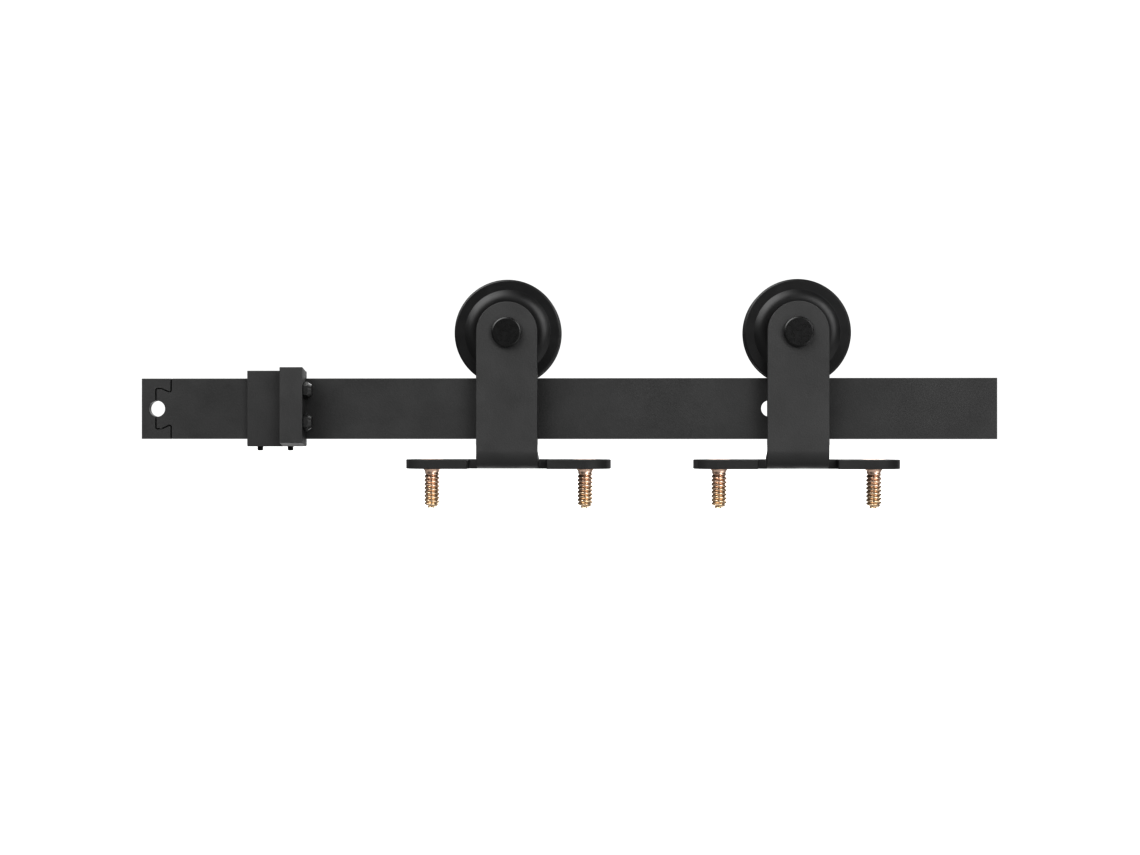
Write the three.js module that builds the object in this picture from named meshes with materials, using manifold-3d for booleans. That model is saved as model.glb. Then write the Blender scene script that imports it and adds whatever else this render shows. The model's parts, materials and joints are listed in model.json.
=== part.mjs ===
// Sliding barn door hardware: a flat steel rail with its dovetail joint, an adjustable end stop,
// and two top-mount roller hangers whose T plates screw down on the top edge of a door.
//
// Millimetres. +X runs along the rail, -Y faces the room and +Z is up.
// The origin is the middle of the rail's back face, the face that looks at the wall.
import * as THREE from 'three';
import { mergeVertices } from 'three/addons/utils/BufferGeometryUtils.js';
import Module from 'manifold-3d';

const wasm = await Module();
wasm.setup();

// Clearance left between pieces that touch
const GAP = 0.3;

// How far a cutting shape runs past what it cuts, and a joined shape into what it joins
const OVERLAP = 1;

// Rail: a flat bar, made in lengths that lock together end to end
const RAIL_LENGTH = 565;
const RAIL_HEIGHT = 40;
const RAIL_THICKNESS = 6;
const RAIL_TOP = RAIL_HEIGHT / 2;
const RAIL_FRONT_Y = -RAIL_THICKNESS;
const RAIL_MID_Y = -RAIL_THICKNESS / 2;
const RAIL_LEFT_X = -RAIL_LENGTH / 2;
const RAIL_RIGHT_X = RAIL_LENGTH / 2;
const HOLE_RADIUS = 5.4;
const LEFT_HOLE_X = -272.3;
const HOLE_PITCH = 406;

// Dovetail joint: the rail's tongue points left into the next length
const SHOULDER_X = -262.5;
const TONGUE_LENGTH = 10.2;
const TONGUE_ROOT = 10;
const TONGUE_TIP = 13;
const TONGUE_ANGLE = THREE.MathUtils.degToRad(23.5);
const ROOT_FILLET = 1.3;
const SLOPE_FILLET = 1;
const TIP_FILLET = 0.7;
const SHOULDER_FILLET = 0.8;
const SEAM = 0.7;

// End stop: a saddle that clasps the rail, with a bumper bar on its front
const STOP_LEFT_X = -210.7;
const STOP_WIDTH = 36.7;
const STOP_HEIGHT = 50;
const STOP_FRONT_WALL = 5.3;
const STOP_LIP = 4;
const STOP_LIP_REACH = 12;
const STOP_EDGE = 1;
const STOP_LIP_EDGE = 0.6;
const BAR_LEFT_X = -187;
const BAR_WIDTH = 15;
const BAR_DEPTH = 11.7;
const BAR_FRONT_TOP = 27.2;
const BAR_FRONT_BOTTOM = -22.5;
const BAR_EDGE = 0.8;
const BUMPER_MID_Z = 1.4;
const BUMPER_SPACING = 20.9;
const BUMPER_ACROSS_FLATS = 10;
const BUMPER_HEAD_LENGTH = 5.1;
const BUMPER_FACE_RADIUS = BUMPER_ACROSS_FLATS / 2 - 0.6;
const BUMPER_CHAMFER = 1.6;
const BUMPER_SHANK_RADIUS = 3;
const BUMPER_SHANK_LENGTH = 11;
const BUMPER_END_CHAMFER = 0.6;
const GRUB_MID_X = -193.6;
const GRUB_SPACING = 20.2;
const GRUB_RADIUS = 2;
const GRUB_TIP_RADIUS = 1.6;
const GRUB_POINT_RADIUS = 1.3;
const GRUB_TAPER = 0.7;
const GRUB_BOTTOM = -27.7;
const GRUB_SOCKET_ACROSS_FLATS = 2;
const GRUB_SOCKET_DEPTH = 2.5;

// Hangers: one strap and T plate each, bent from one sheet
const LEFT_HANGER_X = -38.3;
const RIGHT_HANGER_X = 151.7;
const SHEET = 6;
const STRAP_WIDTH = 40;
const STRAP_FRONT_Y = -21;
const STRAP_BACK_Y = STRAP_FRONT_Y + SHEET;
const BEND_RADIUS = 12;
const PLATE_LENGTH = 135.6;
const PLATE_DEPTH = 34;
const PLATE_BOTTOM = -39.6;
const PLATE_TOP = PLATE_BOTTOM + SHEET;
const NOTCH_WIDTH = 6.2;
const NOTCH_BACK_Y = -8;
const NOTCH_FILLET = 2;
const SCREW_SPACING = PLATE_LENGTH - PLATE_DEPTH;

// Wheel: a grooved roller that straddles the rail's top edge
const GROOVE_RADIUS = 29.5;
const FLANGE_RADIUS = 35;
const AXLE_Z = RAIL_TOP + GAP + GROOVE_RADIUS;
const GROOVE_HALF_FLOOR = 3.9;
const GROOVE_HALF_MOUTH = 5;
const FLANGE_HALF_WIDTH = 8.5;
const BOSS_HALF_WIDTH = 10.5;
const FLANGE_EDGE = 1;
const BOSS_FLAT_RADIUS = 24;
const BOSS_CROWN_RADIUS = 25.7;
const BOSS_CROWN_HALF_WIDTH = 9.8;
const BOSS_FOOT_RADIUS = 27.7;
const LIP_RADIUS = 10.8;

// Ball bearing pressed into the wheel
const BEARING_WIDTH = 9;
const OUTER_RACE_RADIUS = 15;
const OUTER_RACE_INSIDE = 12.6;
const INNER_RACE_OUTSIDE = 8.2;
const BALL_CIRCLE = 10.4;
const BALL_RADIUS = 2.4;
const BALL_COUNT = 8;
const CAGE_HALF_WALL = 0.7;
const CAGE_HALF_WIDTH = 2.9;
const BEARING_ROUND = 24;

// Axle bolt and what is threaded on it
const AXLE_RADIUS = 5;
const AXLE_HOLE = AXLE_RADIUS + GAP;
const HEAD_RADIUS = 9.75;
const HEAD_HEIGHT = 3.3;
const HEAD_EDGE = 0.8;
const AXLE_END_Y = 21.5;
const AXLE_END_CHAMFER = 1;
const SPACER_RADIUS = 7.6;
const REAR_SPACER_LENGTH = 6.6;
const WASHER_RADIUS = 10;
const WASHER_THICKNESS = 2;
const NUT_ACROSS_FLATS = 17;
const NUT_LENGTH = 8;
const NUT_CHAMFER = 0.8;
const NUT_HEX_LENGTH = 5.4;
const NUT_COLLAR_START = 6.2;
const NUT_COLLAR_RADIUS = NUT_ACROSS_FLATS / 2 - 0.4;
const NUT_COLLAR_END_RADIUS = NUT_ACROSS_FLATS / 2 - 1.4;

// Countersunk screws that hold a T plate down on the door
const SCREW_HEAD_RADIUS = 8;
const SCREW_NECK_RADIUS = 5.3;
const SCREW_CREST_RADIUS = 4.6;
const SCREW_TIP_RADIUS = 3.2;
const SCREW_TIP_TAPER = 2;
const SCREW_TIP_Z = -65.6;
const SCREW_FLARE_START = 2;
const SCREW_FLARE_END = 0.4;

const ROUND = 32;
const SMALL_ROUND = 20;
const BALL_ROUND = 8;
const BALL_BANDS = 5;
const ARC_STEPS = 4;
const FILLET_STEPS = 2;
const MERGE_TOLERANCE = 1e-4;

// ---------------------------------------------------------------- materials

const finish = (color, roughness, metalness) => () => (
  new THREE.MeshStandardMaterial({ color, roughness, metalness })
);
const powderCoat = finish(0x3a3a3c, 0.55, 0.2);
const satinBlack = finish(0x1c1c1e, 0.35, 0.2);
const blackOxide = finish(0x222224, 0.4, 0.6);
const bearingSteel = finish(0xb9bcc0, 0.25, 1);
const yellowZinc = finish(0xc99a6a, 0.35, 1);

// ---------------------------------------------------------------- helpers

function toSolid(geometry) {
  geometry.deleteAttribute('normal');
  geometry.deleteAttribute('uv');
  const merged = mergeVertices(geometry, MERGE_TOLERANCE);
  const corners = merged.index.array;
  const triangles = [];
  for (let i = 0; i < corners.length; i += 3) {
    const [a, b, c] = corners.slice(i, i + 3);
    if (a !== b && b !== c && c !== a) triangles.push(a, b, c);
  }
  return new wasm.Manifold(new wasm.Mesh({
    numProp: 3,
    vertProperties: merged.attributes.position.array,
    triVerts: new Uint32Array(triangles),
  }));
}

function toGeometry(solid) {
  const { vertProperties, triVerts } = solid.getMesh();
  const geometry = new THREE.BufferGeometry();
  geometry.setAttribute('position', new THREE.BufferAttribute(vertProperties, 3));
  geometry.setIndex(new THREE.BufferAttribute(triVerts, 1));
  return geometry;
}

function cut(body, ...tools) {
  return tools.reduce((rest, tool) => rest.subtract(toSolid(tool)), body);
}

function piece(name, shape, material) {
  const geometry = shape.isBufferGeometry ? shape : toGeometry(shape);
  const mesh = new THREE.Mesh(geometry, material());
  mesh.name = name;
  return mesh;
}

// A closed outline from corners [a, b, radius], counter-clockwise; radius rounds the corner.
function outline(corners) {
  const shape = new THREE.Shape();
  corners.forEach(([a, b, radius = 0], i) => {
    const corner = new THREE.Vector2(a, b);
    const toBefore = new THREE.Vector2(...corners.at(i - 1)).sub(corner).normalize();
    const toAfter = new THREE.Vector2(...corners[(i + 1) % corners.length]).sub(corner).normalize();
    const halfAngle = Math.acos(toBefore.dot(toAfter)) / 2;
    const setBack = radius / Math.tan(halfAngle);
    const start = corner.clone().addScaledVector(toBefore, setBack);
    const end = corner.clone().addScaledVector(toAfter, setBack);
    if (i === 0) shape.moveTo(start.x, start.y);
    else shape.lineTo(start.x, start.y);
    if (radius > 0) {
      const inward = toBefore.clone().add(toAfter).normalize();
      const centre = corner.clone().addScaledVector(inward, radius / Math.sin(halfAngle));
      const clockwise = toBefore.cross(toAfter) > 0;
      const startAngle = start.sub(centre).angle();
      const endAngle = end.sub(centre).angle();
      shape.absarc(centre.x, centre.y, radius, startAngle, endAngle, clockwise);
    }
  });
  shape.closePath();
  return shape;
}

function extrude(shape, depth, curveSegments) {
  return new THREE.ExtrudeGeometry(shape, { depth, curveSegments, bevelEnabled: false });
}

// An outline in X and Z, given depth from one Y to another
function slabAlongY(shape, fromY, toY, curveSegments = ARC_STEPS) {
  const geometry = extrude(shape, toY - fromY, curveSegments);
  geometry.rotateX(Math.PI / 2);
  geometry.translate(0, toY, 0);
  return geometry;
}

// An outline in X and Y, given height from one Z to another
function slabAlongZ(shape, fromZ, toZ, curveSegments = ARC_STEPS) {
  const geometry = extrude(shape, toZ - fromZ, curveSegments);
  geometry.translate(0, 0, fromZ);
  return geometry;
}

// An outline in Y and Z, given width from one X to another
function slabAlongX(shape, fromX, toX, curveSegments = ARC_STEPS) {
  const geometry = extrude(shape, toX - fromX, curveSegments);
  const turn = new THREE.Matrix4();
  turn.makeBasis(new THREE.Vector3(0, 1, 0), new THREE.Vector3(0, 0, 1), new THREE.Vector3(1, 0, 0));
  geometry.applyMatrix4(turn);
  geometry.translate(fromX, 0, 0);
  return geometry;
}

// A turned piece about the Y axis from [radius, position] points, outside first
function turnedAlongY(profile, segments = SMALL_ROUND) {
  const points = profile.map(([radius, along]) => new THREE.Vector2(radius, along));
  return new THREE.LatheGeometry(points, segments);
}

function turnedAlongX(profile, segments = SMALL_ROUND) {
  return turnedAlongY(profile, segments).rotateZ(-Math.PI / 2);
}

function turnedAlongZ(profile, segments = SMALL_ROUND) {
  return turnedAlongY(profile, segments).rotateX(Math.PI / 2);
}

function rod(radius, length, segments = SMALL_ROUND) {
  return new THREE.CylinderGeometry(radius, radius, length, segments);
}

// A hexagonal rod about the Y axis, one corner up
function hexRod(acrossFlats, length) {
  return rod(acrossFlats / Math.sqrt(3), length, 6);
}

// A ring of rectangular section about the Y axis
function ring(inside, outside, fromY, toY) {
  return turnedAlongY([
    [inside, fromY],
    [outside, fromY],
    [outside, toY],
    [inside, toY],
    [inside, fromY],
  ]);
}

// Points on an arc in a turning profile, its centre at position 0
function arcPoints(centre, radius, fromAngle, toAngle) {
  return Array.from({ length: ARC_STEPS + 1 }, (_, i) => {
    const angle = fromAngle + ((toAngle - fromAngle) * i) / ARC_STEPS;
    return [centre + radius * Math.cos(angle), radius * Math.sin(angle)];
  });
}

// ---------------------------------------------------------------- rail

// The dovetail's corners from the lower root to the upper root, grown by an offset
function dovetail(offset) {
  const rise = Math.tan(TONGUE_ANGLE);
  const lift = offset / Math.cos(TONGUE_ANGLE);
  const rootX = SHOULDER_X - offset;
  const root = TONGUE_ROOT + lift + offset * rise;
  const tip = TONGUE_TIP + offset;
  const slopeX = SHOULDER_X - (tip - TONGUE_ROOT - lift) / rise;
  const tipX = SHOULDER_X - TONGUE_LENGTH - offset;
  return [
    [rootX, -root, ROOT_FILLET - offset],
    [slopeX, -tip, SLOPE_FILLET + offset],
    [tipX, -tip, TIP_FILLET + offset],
    [tipX, tip, TIP_FILLET + offset],
    [slopeX, tip, SLOPE_FILLET + offset],
    [rootX, root, ROOT_FILLET - offset],
  ];
}

function railHole(x) {
  return rod(HOLE_RADIUS, 3 * RAIL_THICKNESS, ROUND).translate(x, RAIL_MID_Y, 0);
}

function makeRail() {
  const bar = slabAlongY(outline([
    [SHOULDER_X, -RAIL_TOP, SHOULDER_FILLET],
    [RAIL_RIGHT_X, -RAIL_TOP],
    [RAIL_RIGHT_X, RAIL_TOP],
    [SHOULDER_X, RAIL_TOP, SHOULDER_FILLET],
    ...dovetail(0).reverse(),
  ]), RAIL_FRONT_Y, 0, FILLET_STEPS);
  const drilled = cut(toSolid(bar), railHole(LEFT_HOLE_X), railHole(LEFT_HOLE_X + HOLE_PITCH));
  return piece('rail', drilled, powderCoat);
}

function makeRailExtension() {
  const bar = slabAlongY(outline([
    [RAIL_LEFT_X, -RAIL_TOP],
    [SHOULDER_X - SEAM, -RAIL_TOP, SHOULDER_FILLET],
    ...dovetail(SEAM),
    [SHOULDER_X - SEAM, RAIL_TOP, SHOULDER_FILLET],
    [RAIL_LEFT_X, RAIL_TOP],
  ]), RAIL_FRONT_Y, 0, FILLET_STEPS);
  return piece('rail_extension', cut(toSolid(bar), railHole(LEFT_HOLE_X)), powderCoat);
}

// ---------------------------------------------------------------- end stop

const STOP_FRONT_Y = RAIL_FRONT_Y - GAP - STOP_FRONT_WALL;
const BAR_BACK_Y = STOP_FRONT_Y - GAP;
const BAR_FRONT_Y = BAR_BACK_Y - BAR_DEPTH;
const BAR_RIGHT_X = BAR_LEFT_X + BAR_WIDTH;

function makeStopBody() {
  const half = STOP_HEIGHT / 2;
  const channel = RAIL_TOP + GAP;
  const channelFront = RAIL_FRONT_Y - GAP;
  const lipBack = GAP + STOP_LIP;
  const section = outline([
    [STOP_FRONT_Y, -half, STOP_EDGE],
    [lipBack, -half, STOP_EDGE],
    [lipBack, -STOP_LIP_REACH, STOP_LIP_EDGE],
    [GAP, -STOP_LIP_REACH, STOP_LIP_EDGE],
    [GAP, -channel],
    [channelFront, -channel],
    [channelFront, channel],
    [GAP, channel],
    [GAP, STOP_LIP_REACH, STOP_LIP_EDGE],
    [lipBack, STOP_LIP_REACH, STOP_LIP_EDGE],
    [lipBack, half, STOP_EDGE],
    [STOP_FRONT_Y, half, STOP_EDGE],
  ]);
  const saddle = toSolid(slabAlongX(section, STOP_LEFT_X, STOP_LEFT_X + STOP_WIDTH, FILLET_STEPS));
  const grubHoles = [-0.5, 0.5].map((side) => (
    rod(GRUB_RADIUS + GAP, STOP_HEIGHT / 4)
      .rotateX(Math.PI / 2)
      .translate(GRUB_MID_X + side * GRUB_SPACING, RAIL_MID_Y, -half)
  ));
  return piece('stop_body', cut(saddle, ...grubHoles), powderCoat);
}

const BUMPER_Y = (BAR_BACK_Y + BAR_FRONT_Y) / 2;

// The bar's ends are cut raked, so that its front stands a little higher than the saddle
function makeStopBar() {
  const section = outline([
    [BAR_FRONT_Y, BAR_FRONT_BOTTOM, BAR_EDGE],
    [BAR_BACK_Y, -STOP_HEIGHT / 2],
    [BAR_BACK_Y, STOP_HEIGHT / 2],
    [BAR_FRONT_Y, BAR_FRONT_TOP, BAR_EDGE],
  ]);
  const block = toSolid(slabAlongX(section, BAR_LEFT_X, BAR_RIGHT_X, FILLET_STEPS));
  const depth = BUMPER_SHANK_LENGTH + GAP;
  const holes = [-0.5, 0.5].map((side) => (
    rod(BUMPER_SHANK_RADIUS + GAP, 2 * depth)
      .rotateZ(Math.PI / 2)
      .translate(BAR_RIGHT_X, BUMPER_Y, BUMPER_MID_Z + side * BUMPER_SPACING)
  ));
  return piece('stop_bar', cut(block, ...holes), powderCoat);
}

function makeBumperBolt(name, side) {
  const corner = BUMPER_ACROSS_FLATS / Math.sqrt(3);
  const hexagon = hexRod(BUMPER_ACROSS_FLATS, BUMPER_HEAD_LENGTH)
    .translate(0, BUMPER_HEAD_LENGTH / 2, 0)
    .rotateZ(-Math.PI / 2);
  const domedHead = turnedAlongX([
    [0, 0],
    [corner, 0],
    [corner, BUMPER_HEAD_LENGTH - BUMPER_CHAMFER],
    [BUMPER_FACE_RADIUS, BUMPER_HEAD_LENGTH],
    [0, BUMPER_HEAD_LENGTH],
  ]);
  const shank = turnedAlongX([
    [0, -BUMPER_SHANK_LENGTH],
    [BUMPER_SHANK_RADIUS - BUMPER_END_CHAMFER, -BUMPER_SHANK_LENGTH],
    [BUMPER_SHANK_RADIUS, BUMPER_END_CHAMFER - BUMPER_SHANK_LENGTH],
    [BUMPER_SHANK_RADIUS, OVERLAP],
    [0, OVERLAP],
  ]);
  const head = toSolid(hexagon).intersect(toSolid(domedHead));
  const bolt = piece(name, head.add(toSolid(shank)), blackOxide);
  bolt.position.set(BAR_RIGHT_X + GAP, BUMPER_Y, BUMPER_MID_Z + side * BUMPER_SPACING);
  return bolt;
}

function makeGrubScrew(name, side) {
  const length = -RAIL_TOP - GAP - GRUB_BOTTOM;
  const shank = turnedAlongZ([
    [0, 0],
    [GRUB_TIP_RADIUS, 0],
    [GRUB_RADIUS, GRUB_TAPER],
    [GRUB_RADIUS, length - GRUB_TAPER],
    [GRUB_POINT_RADIUS, length],
    [0, length],
  ]);
  const socket = hexRod(GRUB_SOCKET_ACROSS_FLATS, 2 * GRUB_SOCKET_DEPTH).rotateX(Math.PI / 2);
  const screw = piece(name, cut(toSolid(shank), socket), blackOxide);
  screw.position.set(GRUB_MID_X + side * GRUB_SPACING, RAIL_MID_Y, GRUB_BOTTOM);
  return screw;
}

function makeStop() {
  const stop = new THREE.Group();
  stop.add(
    makeStopBody(),
    makeStopBar(),
    makeBumperBolt('stop_upper_bumper_bolt', 0.5),
    makeBumperBolt('stop_lower_bumper_bolt', -0.5),
    makeGrubScrew('stop_left_grub_screw', -0.5),
    makeGrubScrew('stop_right_grub_screw', 0.5),
  );
  return stop;
}

// ---------------------------------------------------------------- hanger bracket

const STRAP_HALF = STRAP_WIDTH / 2;
const PLATE_REAR_Y = RAIL_MID_Y + PLATE_DEPTH / 2;
const PLATE_FRONT_Y = RAIL_MID_Y - PLATE_DEPTH / 2;
const BEND_INSIDE = BEND_RADIUS - SHEET;

// Keeps a short straight stretch between the two arcs of a round end
const ARC_MARGIN = 0.001;

// The strap seen from its side: straight down, then bent back under the rail
function makeBentStrap() {
  const strapTop = AXLE_Z + STRAP_HALF;
  const side = outline([
    [STRAP_FRONT_Y, PLATE_BOTTOM, BEND_RADIUS],
    [PLATE_REAR_Y, PLATE_BOTTOM],
    [PLATE_REAR_Y, PLATE_TOP],
    [STRAP_BACK_Y, PLATE_TOP, BEND_INSIDE],
    [STRAP_BACK_Y, strapTop],
    [STRAP_FRONT_Y, strapTop],
  ]);
  const front = outline([
    [-STRAP_HALF, PLATE_BOTTOM - OVERLAP],
    [STRAP_HALF, PLATE_BOTTOM - OVERLAP],
    [STRAP_HALF, strapTop, STRAP_HALF],
    [-STRAP_HALF, strapTop, STRAP_HALF],
  ]);
  const bent = slabAlongX(side, -STRAP_HALF, STRAP_HALF);
  const envelope = slabAlongY(front, STRAP_FRONT_Y - OVERLAP, PLATE_REAR_Y + OVERLAP, 2 * ARC_STEPS);
  return toSolid(bent).intersect(toSolid(envelope));
}

// The round-ended T plate, relieved beside the bend
function makeWings() {
  const half = PLATE_LENGTH / 2;
  const radius = PLATE_DEPTH / 2 - ARC_MARGIN;
  const stadium = outline([
    [-half, PLATE_FRONT_Y, radius],
    [half, PLATE_FRONT_Y, radius],
    [half, PLATE_REAR_Y, radius],
    [-half, PLATE_REAR_Y, radius],
  ]);
  const reliefHalf = STRAP_HALF + NOTCH_WIDTH;
  const relief = outline([
    [-reliefHalf, PLATE_FRONT_Y - OVERLAP],
    [reliefHalf, PLATE_FRONT_Y - OVERLAP],
    [reliefHalf, NOTCH_BACK_Y, NOTCH_FILLET],
    [-reliefHalf, NOTCH_BACK_Y, NOTCH_FILLET],
  ]);
  const plate = toSolid(slabAlongZ(stadium, PLATE_BOTTOM, PLATE_TOP));
  return cut(plate, slabAlongZ(relief, PLATE_BOTTOM - OVERLAP, PLATE_TOP + OVERLAP));
}

const SCREW_CONE = SCREW_HEAD_RADIUS - SCREW_NECK_RADIUS;

function makeCountersink(x) {
  return turnedAlongZ([
    [0, -OVERLAP],
    [SCREW_NECK_RADIUS + GAP, -OVERLAP],
    [SCREW_NECK_RADIUS + GAP, SHEET - SCREW_CONE],
    [SCREW_HEAD_RADIUS + GAP, SHEET],
    [SCREW_HEAD_RADIUS + GAP, SHEET + OVERLAP],
    [0, SHEET + OVERLAP],
  ]).translate(x, RAIL_MID_Y, PLATE_BOTTOM);
}

function makeBracket(name) {
  const axleHole = rod(AXLE_HOLE, 3 * SHEET, ROUND).translate(0, STRAP_FRONT_Y, AXLE_Z);
  const blank = makeBentStrap().add(makeWings());
  const drilled = cut(
    blank,
    axleHole,
    makeCountersink(-SCREW_SPACING / 2),
    makeCountersink(SCREW_SPACING / 2),
  );
  return piece(name, drilled, powderCoat);
}

function makePlateScrew(name, side) {
  const headTop = PLATE_TOP - SCREW_TIP_Z;
  const underPlate = PLATE_BOTTOM - SCREW_TIP_Z;
  const screw = piece(name, turnedAlongZ([
    [0, 0],
    [SCREW_TIP_RADIUS, 0],
    [SCREW_CREST_RADIUS, SCREW_TIP_TAPER],
    [SCREW_CREST_RADIUS, underPlate - SCREW_FLARE_START],
    [SCREW_NECK_RADIUS, underPlate - SCREW_FLARE_END],
    [SCREW_NECK_RADIUS, headTop - SCREW_CONE],
    [SCREW_HEAD_RADIUS - GAP, headTop - GAP],
    [SCREW_HEAD_RADIUS - GAP, headTop],
    [0, headTop],
  ]), yellowZinc);
  screw.position.set(side * SCREW_SPACING, RAIL_MID_Y, SCREW_TIP_Z);
  return screw;
}

// ---------------------------------------------------------------- wheel and bearing

// Positions in these profiles are measured from the wheel's middle plane.
function makeWheel(name) {
  const pocketFloor = -BEARING_WIDTH / 2 - GAP;
  const pocketRadius = OUTER_RACE_RADIUS + GAP;
  return piece(name, turnedAlongY([
    [LIP_RADIUS, -BOSS_HALF_WIDTH],
    [BOSS_FLAT_RADIUS, -BOSS_HALF_WIDTH],
    [BOSS_CROWN_RADIUS, -BOSS_CROWN_HALF_WIDTH],
    [BOSS_FOOT_RADIUS, -FLANGE_HALF_WIDTH],
    [FLANGE_RADIUS - FLANGE_EDGE, -FLANGE_HALF_WIDTH],
    [FLANGE_RADIUS, FLANGE_EDGE - FLANGE_HALF_WIDTH],
    [FLANGE_RADIUS, -GROOVE_HALF_MOUTH],
    [GROOVE_RADIUS, -GROOVE_HALF_FLOOR],
    [GROOVE_RADIUS, GROOVE_HALF_FLOOR],
    [FLANGE_RADIUS, GROOVE_HALF_MOUTH],
    [FLANGE_RADIUS, FLANGE_HALF_WIDTH - FLANGE_EDGE],
    [FLANGE_RADIUS - FLANGE_EDGE, FLANGE_HALF_WIDTH],
    [BOSS_FOOT_RADIUS, FLANGE_HALF_WIDTH],
    [BOSS_CROWN_RADIUS, BOSS_CROWN_HALF_WIDTH],
    [BOSS_FLAT_RADIUS, BOSS_HALF_WIDTH],
    [pocketRadius, BOSS_HALF_WIDTH],
    [pocketRadius, pocketFloor],
    [LIP_RADIUS, pocketFloor],
    [LIP_RADIUS, -BOSS_HALF_WIDTH],
  ], ROUND), satinBlack);
}

function makeOuterRace(name) {
  const half = BEARING_WIDTH / 2;
  const trackRadius = BALL_RADIUS + GAP;
  const mouth = Math.acos((OUTER_RACE_INSIDE - BALL_CIRCLE) / trackRadius);
  return piece(name, turnedAlongY([
    [OUTER_RACE_INSIDE, -half],
    [OUTER_RACE_RADIUS, -half],
    [OUTER_RACE_RADIUS, half],
    [OUTER_RACE_INSIDE, half],
    ...arcPoints(BALL_CIRCLE, trackRadius, mouth, -mouth),
    [OUTER_RACE_INSIDE, -half],
  ], BEARING_ROUND), bearingSteel);
}

function makeInnerRace(name) {
  const half = BEARING_WIDTH / 2;
  const trackRadius = BALL_RADIUS + GAP;
  const mouth = Math.acos((BALL_CIRCLE - INNER_RACE_OUTSIDE) / trackRadius);
  return piece(name, turnedAlongY([
    [AXLE_HOLE, -half],
    [INNER_RACE_OUTSIDE, -half],
    ...arcPoints(BALL_CIRCLE, trackRadius, Math.PI + mouth, Math.PI - mouth),
    [INNER_RACE_OUTSIDE, half],
    [AXLE_HOLE, half],
    [AXLE_HOLE, -half],
  ], BEARING_ROUND), bearingSteel);
}

function makeBallCage(name) {
  const inside = BALL_CIRCLE - CAGE_HALF_WALL;
  const outside = BALL_CIRCLE + CAGE_HALF_WALL;
  const band = ring(inside, outside, -CAGE_HALF_WIDTH, CAGE_HALF_WIDTH);
  let cage = toSolid(band);
  for (let i = 0; i < BALL_COUNT; i += 1) {
    const angle = (2 * Math.PI * i) / BALL_COUNT;
    const ball = new THREE.SphereGeometry(BALL_RADIUS, BALL_ROUND, BALL_BANDS);
    ball.translate(BALL_CIRCLE * Math.cos(angle), 0, BALL_CIRCLE * Math.sin(angle));
    cage = cage.add(toSolid(ball));
  }
  return piece(name, cage, bearingSteel);
}

// ---------------------------------------------------------------- axle

function makeAxleBolt(name) {
  const headBack = STRAP_FRONT_Y - GAP;
  const headFront = headBack - HEAD_HEIGHT;
  return piece(name, turnedAlongY([
    [0, headFront],
    [HEAD_RADIUS - HEAD_EDGE, headFront],
    [HEAD_RADIUS, headFront + HEAD_EDGE],
    [HEAD_RADIUS, headBack],
    [AXLE_RADIUS, headBack],
    [AXLE_RADIUS, AXLE_END_Y - AXLE_END_CHAMFER],
    [AXLE_RADIUS - AXLE_END_CHAMFER, AXLE_END_Y],
    [0, AXLE_END_Y],
  ]), blackOxide);
}

const INNER_RACE_FRONT_Y = RAIL_MID_Y - BEARING_WIDTH / 2;
const INNER_RACE_REAR_Y = RAIL_MID_Y + BEARING_WIDTH / 2;
const REAR_SPACER_FRONT_Y = INNER_RACE_REAR_Y + GAP;
const REAR_SPACER_REAR_Y = REAR_SPACER_FRONT_Y + REAR_SPACER_LENGTH;
const WASHER_FRONT_Y = REAR_SPACER_REAR_Y + GAP;
const WASHER_REAR_Y = WASHER_FRONT_Y + WASHER_THICKNESS;
const NUT_FRONT_Y = WASHER_REAR_Y + GAP;

function makeLockNut(name) {
  const corner = NUT_ACROSS_FLATS / Math.sqrt(3);
  const nutRear = NUT_FRONT_Y + NUT_LENGTH;
  const hexagon = hexRod(NUT_ACROSS_FLATS, NUT_LENGTH);
  hexagon.translate(0, NUT_FRONT_Y + NUT_LENGTH / 2, 0);
  const turned = turnedAlongY([
    [AXLE_HOLE, NUT_FRONT_Y],
    [NUT_ACROSS_FLATS / 2, NUT_FRONT_Y],
    [corner, NUT_FRONT_Y + NUT_CHAMFER],
    [corner, NUT_FRONT_Y + NUT_HEX_LENGTH],
    [NUT_COLLAR_RADIUS, NUT_FRONT_Y + NUT_COLLAR_START],
    [NUT_COLLAR_END_RADIUS, nutRear],
    [AXLE_HOLE, nutRear],
    [AXLE_HOLE, NUT_FRONT_Y],
  ]);
  return piece(name, toSolid(hexagon).intersect(toSolid(turned)), blackOxide);
}

// A spacer or washer on the axle
function makeAxleRing(name, outside, fromY, toY) {
  return piece(name, ring(AXLE_HOLE, outside, fromY, toY), blackOxide);
}

// ---------------------------------------------------------------- one hanger

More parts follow.
